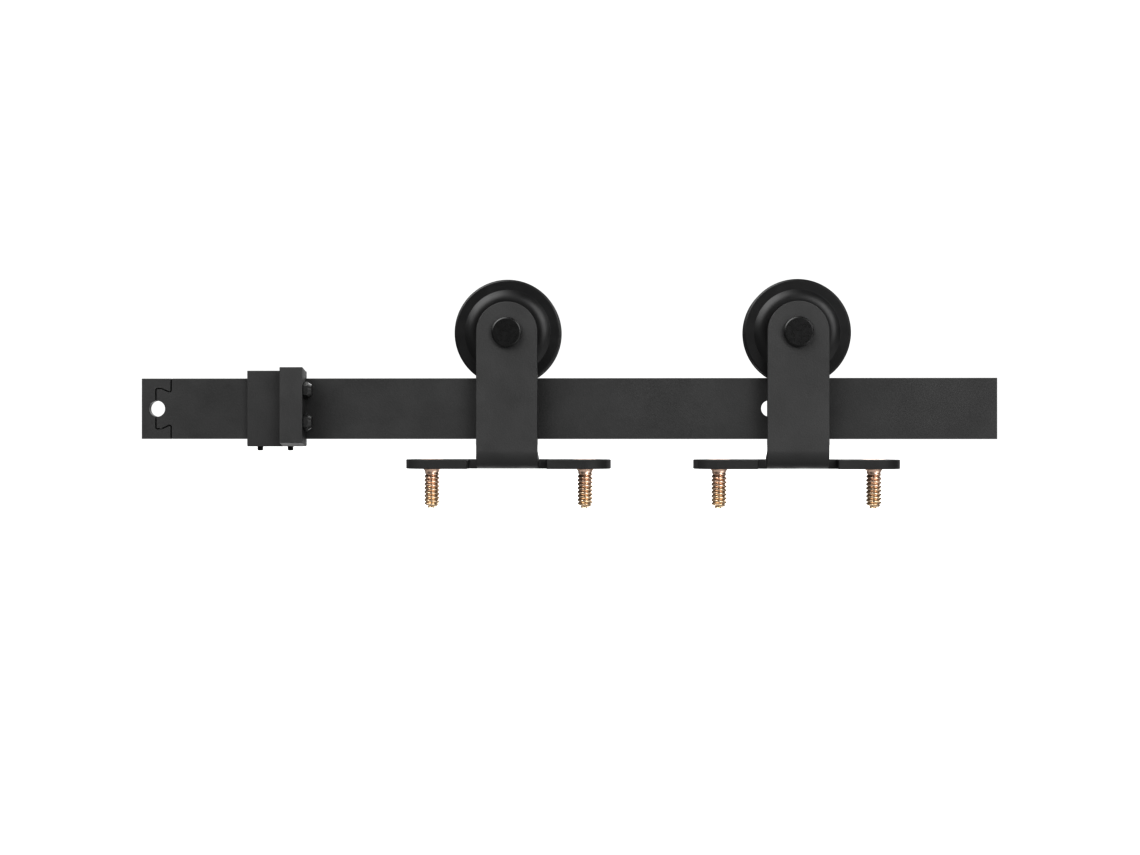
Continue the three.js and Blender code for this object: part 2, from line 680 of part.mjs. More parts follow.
function makeHanger(side, x) {
  const hanger = new THREE.Group();
  hanger.position.x = x;
  hanger.add(
    makeBracket(`${side}_hanger_bracket`),
    makePlateScrew(`${side}_plate_screw_outer`, side === 'left' ? -0.5 : 0.5),
    makePlateScrew(`${side}_plate_screw_inner`, side === 'left' ? 0.5 : -0.5),
  );

  const roller = new THREE.Group();
  roller.position.set(0, RAIL_MID_Y, AXLE_Z);
  roller.add(
    makeWheel(`${side}_wheel`),
    makeOuterRace(`${side}_bearing_outer_race`),
    makeBallCage(`${side}_bearing_ball_cage`),
    makeInnerRace(`${side}_bearing_inner_race`),
  );

  const axle = new THREE.Group();
  axle.position.z = AXLE_Z;
  axle.add(
    makeAxleBolt(`${side}_axle_bolt`),
    makeAxleRing(`${side}_front_spacer`, SPACER_RADIUS, STRAP_BACK_Y + GAP, INNER_RACE_FRONT_Y - GAP),
    makeAxleRing(`${side}_rear_spacer`, SPACER_RADIUS, REAR_SPACER_FRONT_Y, REAR_SPACER_REAR_Y),
    makeAxleRing(`${side}_axle_washer`, WASHER_RADIUS, WASHER_FRONT_Y, WASHER_REAR_Y),
    makeLockNut(`${side}_lock_nut`),
  );

  hanger.add(roller, axle);
  return hanger;
}

// ---------------------------------------------------------------- assembly

const hardware = new THREE.Group();
hardware.add(
  makeRail(),
  makeRailExtension(),
  makeStop(),
  makeHanger('left', LEFT_HANGER_X),
  makeHanger('right', RIGHT_HANGER_X),
);

export default hardware;
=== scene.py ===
import json
import math

import bmesh
import bpy
from mathutils import Matrix, Vector


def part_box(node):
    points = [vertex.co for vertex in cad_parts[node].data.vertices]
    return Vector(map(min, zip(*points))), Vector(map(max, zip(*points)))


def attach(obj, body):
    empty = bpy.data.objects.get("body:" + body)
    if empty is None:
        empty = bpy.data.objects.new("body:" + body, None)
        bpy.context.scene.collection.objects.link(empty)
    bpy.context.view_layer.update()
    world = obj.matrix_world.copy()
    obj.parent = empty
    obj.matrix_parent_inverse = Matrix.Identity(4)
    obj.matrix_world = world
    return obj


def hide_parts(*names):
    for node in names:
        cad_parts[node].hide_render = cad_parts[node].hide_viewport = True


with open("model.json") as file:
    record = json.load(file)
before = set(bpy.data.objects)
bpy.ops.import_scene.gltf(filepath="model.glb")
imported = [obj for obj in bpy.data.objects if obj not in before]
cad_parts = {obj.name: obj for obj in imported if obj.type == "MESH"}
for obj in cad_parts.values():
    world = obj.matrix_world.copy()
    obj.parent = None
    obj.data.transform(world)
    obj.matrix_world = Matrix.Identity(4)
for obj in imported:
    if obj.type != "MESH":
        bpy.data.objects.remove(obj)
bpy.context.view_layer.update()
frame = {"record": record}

# Sliding barn door hardware: rail, end stop and two roller hangers.
# Metres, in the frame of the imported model: +X along the rail, -Y towards the room, +Z up.
MM = 0.001
RECORD = frame["record"]
NODE_BODY = {node: body for body, nodes in RECORD["behaviour"]["bodies"].items() for node in nodes}

# The room left between two pieces that fit together, and how far a cutting tool starts outside its cut
GAP = 0.3 * MM
BEYOND = 1 * MM

# Turn a piece made about the Y axis to the Z or the X axis
TURN_TO_Z = Matrix.Rotation(math.pi / 2, 3, "X")
TURN_TO_X = Matrix.Rotation(-math.pi / 2, 3, "Z")


# ---------------------------------------------------------------- mesh helpers

def rounded(corners, steps=7):
    """Points of a closed outline from (a, b) or (a, b, radius) corners."""
    points = []
    for i, (a, b, *radius) in enumerate(corners):
        corner = Vector((a, b))
        if not radius:
            points.append(corner)
            continue
        before = (Vector(corners[i - 1][:2]) - corner).normalized()
        after = (Vector(corners[(i + 1) % len(corners)][:2]) - corner).normalized()
        half = before.angle(after) / 2
        centre = corner + (before + after).normalized() * radius[0] / math.sin(half)
        start = corner + before * radius[0] / math.tan(half) - centre
        end = corner + after * radius[0] / math.tan(half) - centre
        first = math.atan2(start.y, start.x)
        sweep = (math.atan2(end.y, end.x) - first + math.pi) % math.tau - math.pi
        count = max(2, math.ceil(abs(sweep) / (math.pi / 2) * steps))
        for k in range(count + 1):
            angle = first + sweep * k / count
            points.append(centre + radius[0] * Vector((math.cos(angle), math.sin(angle))))
    return [p for i, p in enumerate(points) if (p - points[i - 1]).length > 1e-7]


def circle(a, b, radius, count=72):
    """Points of a circle."""
    turns = [math.tau * k / count for k in range(count)]
    return [Vector((a + radius * math.cos(t), b + radius * math.sin(t))) for t in turns]


def clean(bm, name, sharp_angle=38):
    """Merges, orients and smooths a bmesh, and returns it as a mesh."""
    bmesh.ops.remove_doubles(bm, verts=bm.verts, dist=1e-6)
    bmesh.ops.dissolve_degenerate(bm, edges=bm.edges, dist=1e-7)
    bmesh.ops.dissolve_limit(bm, angle_limit=math.radians(0.1), verts=bm.verts, edges=bm.edges)
    bmesh.ops.recalc_face_normals(bm, faces=bm.faces)
    if bm.calc_volume(signed=True) < 0:
        bmesh.ops.reverse_faces(bm, faces=bm.faces)
    for face in bm.faces:
        face.smooth = True
    for edge in bm.edges:
        edge.smooth = edge.calc_face_angle(0) < math.radians(sharp_angle)
    mesh = bpy.data.meshes.new(name)
    bm.to_mesh(mesh)
    bm.free()
    return mesh


def turned(name, profile, segments=96, sharp_angle=38):
    """A piece about the Y axis from a closed profile.

    Each entry is a (radius, along) point, or a function that gives one for each turn.
    """
    bm = bmesh.new()
    rings = []
    for entry in profile:
        shaped = callable(entry)
        ring = []
        for k in range(segments if shaped or entry[0] > 1e-7 else 1):
            turn = math.tau * k / segments
            radius, along = entry(turn) if shaped else entry
            ring.append(bm.verts.new((radius * math.cos(turn), along, radius * math.sin(turn))))
        rings.append(ring)
    for i, ring in enumerate(rings):
        before = rings[i - 1]
        if len(ring) == 1 and len(before) == 1:
            continue
        for k in range(segments):
            after = (k + 1) % segments
            corners = [before[k % len(before)], before[after % len(before)],
                       ring[after % len(ring)], ring[k % len(ring)]]
            bm.faces.new(list(dict.fromkeys(corners)))
    return clean(bm, name, sharp_angle)


def plate(outlines, thickness, bevel):
    """A bmesh of a flat plate in (a, b, w), w from -thickness/2 to thickness/2, edges rounded."""
    curve = bpy.data.curves.new("plate", "CURVE")
    curve.dimensions = "2D"
    curve.fill_mode = "BOTH"
    curve.extrude = thickness / 2 - bevel
    curve.bevel_depth = bevel
    curve.bevel_resolution = 2
    curve.offset = -bevel
    for points in outlines:
        spline = curve.splines.new("POLY")
        spline.points.add(len(points) - 1)
        for target, point in zip(spline.points, points):
            target.co = (point.x, point.y, 0, 1)
        spline.use_cyclic_u = True
    holder = bpy.data.objects.new("plate", curve)
    mesh = bpy.data.meshes.new_from_object(holder)
    bm = bmesh.new()
    bm.from_mesh(mesh)
    bpy.data.objects.remove(holder)
    bpy.data.curves.remove(curve)
    bpy.data.meshes.remove(mesh)
    bmesh.ops.remove_doubles(bm, verts=bm.verts, dist=1e-6)
    return bm


def place(bm, mapping):
    """Moves each (a, b, w) point of a bmesh to where mapping says."""
    for vert in bm.verts:
        vert.co = mapping(*vert.co)


def combined(operation, mesh, *tools):
    """The mesh with the tool meshes joined to it or cut out of it, one after another."""
    holder = bpy.data.objects.new("holder", mesh)
    bpy.context.collection.objects.link(holder)
    cutters = []
    for tool in tools:
        cutter = bpy.data.objects.new("cutter", tool)
        bpy.context.collection.objects.link(cutter)
        cutters.append(cutter)
        boolean = holder.modifiers.new("combine", "BOOLEAN")
        boolean.operation = operation
        boolean.solver = "EXACT"
        boolean.object = cutter
    ready = holder.evaluated_get(bpy.context.evaluated_depsgraph_get())
    bm = bmesh.new()
    bm.from_mesh(ready.to_mesh())
    for made in (holder, *cutters):
        bpy.data.objects.remove(made)
    return clean(bm, mesh.name)


def cut(mesh, *tools):
    """The mesh with the tool meshes cut out of it."""
    return combined("DIFFERENCE", mesh, *tools)


def moved(mesh, turn=None, by=(0, 0, 0)):
    """The mesh, turned by a matrix and then shifted."""
    if turn is not None:
        mesh.transform(turn.to_4x4())
    for vert in mesh.vertices:
        vert.co += Vector(by)
    return mesh


def stand_in(node, mesh, material, origin=(0, 0, 0)):
    """Shows a fine mesh, made about origin, in place of a CAD node."""
    piece = bpy.data.objects.new(f"{node}_fine", mesh)
    bpy.context.collection.objects.link(piece)
    piece.location = origin
    mesh.materials.append(material)
    flat = piece.modifiers.new("flat faces stay flat", "WEIGHTED_NORMAL")
    flat.keep_sharp = True
    flat.weight = 100
    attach(piece, NODE_BODY[node])
    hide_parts(node)
    return piece


def middle(node):
    """The middle of a CAD node's box."""
    low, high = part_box(node)
    return (Vector(low) + Vector(high)) / 2


# ---------------------------------------------------------------- materials

# How far the edge tone reaches in from an edge: worn paint on the powder coat, and wear plus a painted
# highlight on the black oxide.
EDGE_WEAR_AND_HIGHLIGHT = 0.3 * MM


class Shader:
    """A short way to wire one node material."""

    def __init__(self, name):
        self.material = bpy.data.materials.new(name)
        self.material.use_nodes = True
        self.tree = self.material.node_tree
        self.surface = self.tree.nodes["Principled BSDF"]
        self.place = self.node("ShaderNodeTexCoord").outputs["Object"]

    def node(self, kind, **values):
        made = self.tree.nodes.new(kind)
        for key, value in values.items():
            setattr(made, key, value)
        return made

    def link(self, source, target):
        self.tree.links.new(source, target)

    def set(self, **values):
        for key, value in values.items():
            self.surface.inputs[key.replace("_", " ")].default_value = value

    def noise(self, scale, detail=3, roughness=0.5):
        made = self.node("ShaderNodeTexNoise")
        self.link(self.place, made.inputs["Vector"])
        made.inputs["Scale"].default_value = scale
        made.inputs["Detail"].default_value = detail
        made.inputs["Roughness"].default_value = roughness
        return made.outputs["Fac"]

    def ramp(self, source, *stops):
        made = self.node("ShaderNodeValToRGB")
        self.link(source, made.inputs["Fac"])
        elements = made.color_ramp.elements
        while len(elements) < len(stops):
            elements.new(0.5)
        for element, (position, color) in zip(elements, stops):
            element.position = position
            element.color = (*color, 1)
        return made.outputs["Color"]

    def span(self, source, low, high, from_low=0.3, from_high=0.7):
        made = self.node("ShaderNodeMapRange")
        self.link(source, made.inputs["Value"])
        made.inputs["From Min"].default_value = from_low
        made.inputs["From Max"].default_value = from_high
        made.inputs["To Min"].default_value = low
        made.inputs["To Max"].default_value = high
        return made.outputs["Result"]

    def mix(self, factor, first, second):
        made = self.node("ShaderNodeMix", data_type="RGBA")
        self.link(factor, made.inputs["Factor"])
        for socket, value in ((made.inputs[6], first), (made.inputs[7], second)):
            if isinstance(value, tuple):
                socket.default_value = (*value, 1)
            else:
                self.link(value, socket)
        return made.outputs[2]

    def bump(self, *layers):
        """Stacks (height, distance) layers into the surface's normal."""
        normal = None
        for height, distance in layers:
            made = self.node("ShaderNodeBump")
            made.inputs["Distance"].default_value = distance
            self.link(height, made.inputs["Height"])
            if normal is not None:
                self.link(normal, made.inputs["Normal"])
            normal = made.outputs["Normal"]
        self.link(normal, self.surface.inputs["Normal"])

    def edges(self):
        """1 along edges, 0 on flats."""
        softened = self.node("ShaderNodeBevel", samples=6)
        softened.inputs["Radius"].default_value = EDGE_WEAR_AND_HIGHLIGHT
        turned_by = self.node("ShaderNodeVectorMath", operation="DOT_PRODUCT")
        self.link(softened.outputs["Normal"], turned_by.inputs[0])
        self.link(self.node("ShaderNodeNewGeometry").outputs["Normal"], turned_by.inputs[1])
        return self.span(turned_by.outputs["Value"], 1, 0, 0.85, 0.99)


def powder_coat(name, share=1.0):
    """Matte black powder coat: fine orange peel, faint mottling, thinner paint on edges.

    share scales its tone: under 1 for the rougher metal of a cut edge, over 1 for a copy made lighter as
    painted light.
    """
    s = Shader(name)
    mottled = s.ramp(s.noise(35), (0.35, (0.025 * share,) * 3), (0.65, (0.032 * share,) * 3))
    speckled = s.mix(s.span(s.noise(2600, 1), 0, 0.35, 0.55, 0.8), mottled, (0.05 * share,) * 3)
    s.link(s.mix(s.edges(), speckled, (0.045 * share,) * 3), s.surface.inputs["Base Color"])
    s.link(s.span(s.noise(90), 0.46, 0.6), s.surface.inputs["Roughness"])
    s.bump((s.noise(900, 2), 0.00006), (s.noise(2800, 2), 0.00003))
    s.set(Specular_IOR_Level=0.5 * share)
    return s.material


def wheel_nylon():
    """Satin black nylon with the faint rings of its turned mould."""
    s = Shader("satin_black_nylon")
    s.link(s.ramp(s.noise(60), (0.3, (0.009, 0.009, 0.0092)), (0.7, (0.013, 0.013, 0.0133))),
           s.surface.inputs["Base Color"])
    s.link(s.span(s.noise(140), 0.3, 0.37), s.surface.inputs["Roughness"])
    rings = s.node("ShaderNodeTexWave", wave_type="RINGS", rings_direction="Y")
    s.link(s.place, rings.inputs["Vector"])
    rings.inputs["Scale"].default_value = 700
    rings.inputs["Distortion"].default_value = 1.2
    rings.inputs["Detail"].default_value = 1
    s.bump((rings.outputs["Fac"], 0.000004), (s.noise(1500, 2), 0.00001))
    s.set(Specular_IOR_Level=0.4)
    return s.material


def black_oxide(name, grey):
    """Oiled black oxide on steel, lighter along its edges: partly rubbed wear, partly a painted highlight.
    grey is its darkest tone.
    """
    s = Shader(name)
    clouded = s.ramp(s.noise(220), (0.3, (grey,) * 3), (0.7, (grey * 1.4,) * 3))
    # The lighter tone along the edges is rubbed wear and a painted highlight in one.
    s.link(s.mix(s.edges(), clouded, (0.055, 0.055, 0.057)), s.surface.inputs["Base Color"])
    s.link(s.span(s.noise(400), 0.24, 0.34), s.surface.inputs["Roughness"])
    s.bump((s.noise(2200, 2), 0.000015))
    s.set(Specular_IOR_Level=0.5)
    return s.material


def bearing_steel():
    """Ground steel with fine lines round the axis."""
    s = Shader("ground_bearing_steel")
    s.link(s.ramp(s.noise(300), (0.3, (0.42, 0.43, 0.44)), (0.7, (0.58, 0.585, 0.6))),
           s.surface.inputs["Base Color"])
    s.link(s.span(s.noise(500), 0.18, 0.3), s.surface.inputs["Roughness"])
    rings = s.node("ShaderNodeTexWave", wave_type="RINGS", rings_direction="Y")
    s.link(s.place, rings.inputs["Vector"])
    rings.inputs["Scale"].default_value = 2500
    s.bump((rings.outputs["Fac"], 0.000002))
    s.set(Metallic=1.0)
    return s.material


def yellow_zinc():
    """Zinc plating that runs from rose copper at the neck to yellow gold at the tip. It is lightest
    towards the neck: painted light that makes up for the shade under the T plate.
    """
    s = Shader("yellow_zinc_plating")
    height = s.node("ShaderNodeSeparateXYZ")
    s.link(s.place, height.inputs["Vector"])
    along = s.span(height.outputs["Z"], 0, 1, 0, SCREW_LENGTH)
    # Rose at the neck and gold at the tip are the plating's tint. The lighter tone towards the neck is
    # painted light against the plate's shade.
    tint_and_painted_light = s.ramp(along, (0.0, (0.68, 0.55, 0.4)), (0.35, (0.59, 0.47, 0.37)), (0.8, (0.92, 0.7, 0.6)))
    clouded = s.mix(s.span(s.noise(260), 0, 0.5), tint_and_painted_light, (0.46, 0.37, 0.27))
    s.link(clouded, s.surface.inputs["Base Color"])
    s.link(s.span(s.noise(500), 0.24, 0.4), s.surface.inputs["Roughness"])
    s.bump((s.noise(2600, 2), 0.00001))
    s.set(Metallic=1.0)
    return s.material


# ---------------------------------------------------------------- rail

EDGE = 0.2 * MM
HOLE_RADIUS = 5.4 * MM
HOLE_PITCH = 406 * MM
TONGUE_LENGTH = 10.2 * MM
TONGUE_ROOT = 10 * MM
TONGUE_TIP = 13 * MM
TONGUE_ANGLE = math.radians(23.5)
ROOT_FILLET = 1.4 * MM
TIP_FILLET = 0.7 * MM
SHOULDER_FILLET = 0.8 * MM
HOLE_BEFORE_SHOULDER = 9.8 * MM
SEAM = 0.04 * MM
SEAM_WIDTH = 0.8 * MM
SEAM_DEPTH = 3 * MM

rail_low, rail_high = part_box("rail")
rail_middle = middle("rail")
RAIL_THICKNESS = rail_high[1] - rail_low[1]
SHOULDER_X = rail_low[0] + TONGUE_LENGTH
LEFT_HOLE_X = SHOULDER_X - HOLE_BEFORE_SHOULDER
extension_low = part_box("rail_extension")[0]


def dovetail(offset):
    """The tongue's corners from the lower root to the upper root, grown by an offset."""
    rise = math.tan(TONGUE_ANGLE)
    lift = offset / math.cos(TONGUE_ANGLE)
    root_x = SHOULDER_X - offset
    root = TONGUE_ROOT + lift + offset * rise
    tip = TONGUE_TIP + offset
    slope_x = SHOULDER_X - (tip - TONGUE_ROOT - lift) / rise
    return [
        (root_x, -root, ROOT_FILLET - offset),
        (slope_x, -tip, TIP_FILLET + offset),
        (rail_low[0] - offset, -tip, TIP_FILLET + offset),
        (rail_low[0] - offset, tip, TIP_FILLET + offset),
        (slope_x, tip, TIP_FILLET + offset),
        (root_x, root, ROOT_FILLET - offset),
    ]


def rail_drill(x):
    """A drill through the rail, with a little countersink at both faces."""
    half = RAIL_THICKNESS / 2
    section = [(0, -half - EDGE), (HOLE_RADIUS + 2 * EDGE, -half - EDGE), (HOLE_RADIUS, -half + EDGE),
               (HOLE_RADIUS, half - EDGE), (HOLE_RADIUS + 2 * EDGE, half + EDGE), (0, half + EDGE)]
    return moved(turned("drill", section, 72), by=(x, rail_middle.y, rail_middle.z))


def bar_mesh(name, corners, hole_xs):
    """A length of the flat bar from its outline in X and Z."""
    bm = plate([rounded(corners)], RAIL_THICKNESS, EDGE)
    place(bm, lambda a, b, w: (a, rail_middle.y + w, rail_middle.z + b))
    return cut(clean(bm, name), *(rail_drill(x) for x in hole_xs))


def seam_groove():
    """A tool for the open groove along the seam, cut in the rail extension's front."""
    top = rail_high[2] - rail_middle.z + BEYOND
    paths = []
    for offset in (-EDGE, SEAM_WIDTH):
        side_x = SHOULDER_X - offset
        paths.append(rounded([(side_x, -top), *dovetail(offset), (side_x, top)]))
    bm = bmesh.new()
    stations = []
    for near, far in zip(*paths):
        corners = []
        for point, depth in ((near, -BEYOND), (far, -BEYOND), (far, SEAM_DEPTH), (near, SEAM_DEPTH)):
            corners.append(bm.verts.new((point.x, rail_low[1] + depth, rail_middle.z + point.y)))
        stations.append(corners)
    for before, after in zip(stations, stations[1:]):
        for k in range(4):
            bm.faces.new((before[k - 1], before[k], after[k], after[k - 1]))
    bm.faces.new(stations[0])
    bm.faces.new(stations[-1])
    return clean(bm, "groove")


def make_rail(coat):
    """The rail with its dovetail tongue, and the end of the next length, which holds it."""
    top = rail_high[2] - rail_middle.z
    stand_in("rail", bar_mesh("rail", [
        (SHOULDER_X, -top, SHOULDER_FILLET),
        (rail_high[0], -top),
        (rail_high[0], top),
        (SHOULDER_X, top, SHOULDER_FILLET),
        *dovetail(0)[::-1],
    ], (LEFT_HOLE_X, LEFT_HOLE_X + HOLE_PITCH)), coat)
    extension = bar_mesh("rail_extension", [
        (extension_low[0], -top),
        (SHOULDER_X - SEAM, -top, SHOULDER_FILLET),
        *dovetail(SEAM),
        (SHOULDER_X - SEAM, top, SHOULDER_FILLET),
        (extension_low[0], top),
    ], (LEFT_HOLE_X,))
    stand_in("rail_extension", cut(extension, seam_groove()), coat)


# ---------------------------------------------------------------- hexagons and threads

CHAMFER = math.tan(math.radians(30))
SOCKET_ABOVE = 0.5 * MM
RIDGE_WIDTH = 0.36
RIDGE_POWER = 0.8


def hexagon(across_flats, along, end_radius=math.inf, slope=0.0):
    """A profile entry for a hexagon with a corner up, which slopes away outside end_radius."""
    def ring(turn):
        side = (turn - math.pi / 2) % (math.pi / 3) - math.pi / 6
        radius = across_flats / 2 / math.cos(side)
        return radius, along + slope * max(0, radius - end_radius)
    return ring


def hex_socket(across_flats, depth):
    """A tool for a hexagon socket, from depth below to a little above its own origin."""
    return turned("socket", [
        (0, -depth),
        hexagon(across_flats, -depth),
        hexagon(across_flats, SOCKET_ABOVE),
        (0, SOCKET_ABOVE),
    ], 72)


def thread(radius_at, depth, pitch, start, end, fade_start, fade_end, per_turn=14, crest=0.12):
    """Profile entries for a helical thread from start to end.

    radius_at(along) is the radius of its crest, and crest widens its flat. The groove is depth
    deep, and it runs in and out over one pitch at the ends that fade.
    """
    def ring_at(along):
        fade = min(1, (along - start) / pitch) if fade_start else 1
        fade = min(fade, (end - along) / pitch) if fade_end else fade

        def ring(turn):
            phase = (along / pitch - turn / math.tau) % 1
            ridge = min(1, max(0, 1 + crest - abs(phase - 0.5) / RIDGE_WIDTH))
            return radius_at(along) - depth * max(0, fade) * (1 - ridge ** RIDGE_POWER), along
        return ring

    count = math.ceil((end - start) / pitch * per_turn)
    return [ring_at(start + (end - start) * i / count) for i in range(count + 1)]


# ---------------------------------------------------------------- end stop

STOP_EDGE = 0.2 * MM
STOP_CORNER = 0.3 * MM
SADDLE_CORNER = 0.8 * MM
LIP_CORNER = 0.6 * MM
SADDLE_REACH = 12 * MM
BAR_FRONT_BOTTOM = 2.5 * MM
BUMPER_FLATS = 10 * MM
BUMPER_FACE = 3.9 * MM
BUMPER_SLOPE = -1.7
BUMPER_SHANK = 3 * MM
BUMPER_TAPER = 0.6 * MM
BUMPER_UNDERCUT = 0.3 * MM
BUMPER_THREAD = 0.5 * MM
BUMPER_PITCH = 1 * MM
BUMPER_ROOT = 0.2 * MM
BUMPER_SHOULDER = 0.15 * MM
BUMPER_BLEND = 0.1 * MM
GRUB_FLATS = 2 * MM
GRUB_SOCKET = 2 * MM
GRUB_THREAD = 0.3 * MM
GRUB_PITCH = 0.7 * MM
GRUB_TAPER = 0.4 * MM
GRUB_TAPER_SLOPE = 0.6
GRUB_END = 0.7 * MM
GRUB_DRILL_BELOW = 10 * MM
GRUB_DRILL_ABOVE = 6 * MM


def make_stop_body(coat):
    """The saddle: a C round the rail with a lip above and below, drilled for the grub screws."""
    low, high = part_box("stop_body")
    half = (high[2] - low[2]) / 2
    channel = rail_high[2] + GAP
    front = rail_low[1] - GAP
    section = rounded([
        (low[1], -half, STOP_CORNER),
        (high[1], -half, SADDLE_CORNER),
        (high[1], -SADDLE_REACH, LIP_CORNER),
        (GAP, -SADDLE_REACH, LIP_CORNER),
        (GAP, -channel, STOP_CORNER),
        (front, -channel, STOP_CORNER),
        (front, channel, STOP_CORNER),
        (GAP, channel, STOP_CORNER),
        (GAP, SADDLE_REACH, LIP_CORNER),
        (high[1], SADDLE_REACH, LIP_CORNER),
        (high[1], half, SADDLE_CORNER),
        (low[1], half, STOP_CORNER),
    ], 4)
    bm = plate([section], high[0] - low[0], STOP_EDGE)
    place(bm, lambda a, b, w: ((low[0] + high[0]) / 2 + w, a, b))
    drills = []
    for node in ("stop_left_grub_screw", "stop_right_grub_screw"):
        grub_low, grub_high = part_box(node)
        radius = (grub_high[0] - grub_low[0]) / 2 + GAP / 2
        drill = turned("drill", [(0, -GRUB_DRILL_BELOW), (radius, -GRUB_DRILL_BELOW),
                                 (radius, GRUB_DRILL_ABOVE), (0, GRUB_DRILL_ABOVE)], 48)
        drills.append(moved(drill, TURN_TO_Z, (middle(node).x, middle(node).y, low[2])))
    stand_in("stop_body", cut(clean(bm, "stop_body"), *drills), coat)


def make_stop_bar(coat):
    """The bar on the saddle's front: its top and foot slope down to the back, its side takes the bolts."""
    low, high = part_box("stop_bar")
    saddle_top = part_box("stop_body")[1][2]
    section = rounded([
        (low[1], low[2] + BAR_FRONT_BOTTOM, STOP_CORNER),
        (high[1], low[2], STOP_CORNER),
        (high[1], saddle_top, STOP_CORNER),
        (low[1], high[2], STOP_CORNER),
    ], 5)
    bm = plate([section], high[0] - low[0], STOP_EDGE)
    place(bm, lambda a, b, w: ((low[0] + high[0]) / 2 + w, a, b))
    drills = []
    for node in ("stop_upper_bumper_bolt", "stop_lower_bumper_bolt"):
        depth = high[0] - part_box(node)[0][0] + GAP
        radius = BUMPER_SHANK + GAP
        drill = turned("drill", [(0, -depth), (radius, -depth), (radius, EDGE), (0, EDGE)], 64)
        drills.append(moved(drill, TURN_TO_X, (high[0], middle(node).y, middle(node).z)))
    stand_in("stop_bar", cut(clean(bm, "stop_bar"), *drills), coat)


def make_bumper_bolt(node, steel):
    """A hexagon head with a deep cone on its end, on a threaded shank."""
    low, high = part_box(node)
    head_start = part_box("stop_bar")[1][0] + GAP
    height = high[0] - head_start
    shank = low[0] - head_start
    bolt = turned(node, [
        (0, shank),
        (BUMPER_SHANK - BUMPER_TAPER, shank),
        *thread(lambda along: min(BUMPER_SHANK, BUMPER_SHANK - BUMPER_TAPER + along - shank),
                BUMPER_THREAD, BUMPER_PITCH, shank, 0, False, True, 10),
        (BUMPER_FLATS / 2 - BUMPER_UNDERCUT, 0),
        hexagon(BUMPER_FLATS, BUMPER_ROOT),
        hexagon(BUMPER_FLATS, height - BUMPER_SHOULDER, BUMPER_FACE + BUMPER_BLEND, BUMPER_SLOPE),
        (BUMPER_FACE, height),
        (0, height),
    ], 144, 20)
    stand_in(node, moved(bolt, TURN_TO_X), steel, (head_start, middle(node).y, middle(node).z))


def make_grub_screw(node, steel):
    """A headless screw with a hexagon socket in its lower end."""
    low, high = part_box(node)
    radius = (high[0] - low[0]) / 2
    length = high[2] - low[2]
    screw = turned(node, [
        (0, 0),
        (radius - GRUB_TAPER, 0),
        *thread(lambda along: min(radius, radius - GRUB_TAPER + along * GRUB_TAPER_SLOPE),
                GRUB_THREAD, GRUB_PITCH, 0, length - GRUB_END, False, False, 10),
        (radius - GRUB_END, length),
        (0, length),
    ], 60)
    socket = moved(hex_socket(GRUB_FLATS, GRUB_SOCKET), TURN_TO_Z.inverted())
    screw = cut(moved(screw, TURN_TO_Z), socket)
    stand_in(node, screw, steel, (middle(node).x, middle(node).y, low[2]))


# ---------------------------------------------------------------- hangers

SHEET = 6 * MM
SHEET_EDGE = 0.3 * MM
BEND_RADIUS = 12 * MM
BEND_STEPS = 12
NOTCH_WIDTH = 6.2 * MM
NOTCH_DEPTH = 12 * MM
NOTCH_CORNER = 0.6 * MM
NOTCH_END = 2 * MM
STRAP_HALF = 20 * MM
PLATE_DEPTH = 34 * MM
AXLE_HOLE = 5.3 * MM
BEND_FLARE = 0.8 * MM
BEND_FLARE_SKEW = 1.3
BEND_FLARE_POWER = 5

# Two full roundings side by side keep a sliver of straight edge between them
SLIVER = 0.001 * MM

SCREW_HEAD = 7.7 * MM
SCREW_HEAD_RIM = 0.3 * MM
SCREW_NECK = 5.5 * MM
SCREW_WAIST = 4.55 * MM
SCREW_CREST = 4.95 * MM
SCREW_TIP = 2.4 * MM
SCREW_TIP_SLOPE = 0.95
SCREW_THREAD = 1.2 * MM
SCREW_THREAD_TOP = 2.2 * MM
SCREW_PITCH = 2.6 * MM
SCREW_FLARE_TOP = 0.6 * MM
SCREW_FLARE_POWER = 1.5
SCREW_FLARE_STEPS = 8
SCREW_WAIST_TURNS = 1.5
SCREW_SOCKET = 5 * MM
SCREW_SOCKET_DEPTH = 3 * MM

screw_low, screw_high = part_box("left_plate_screw_outer")
SCREW_LENGTH = screw_high[2] - screw_low[2]
UNDER_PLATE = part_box("left_hanger_bracket")[0][2] - screw_low[2]


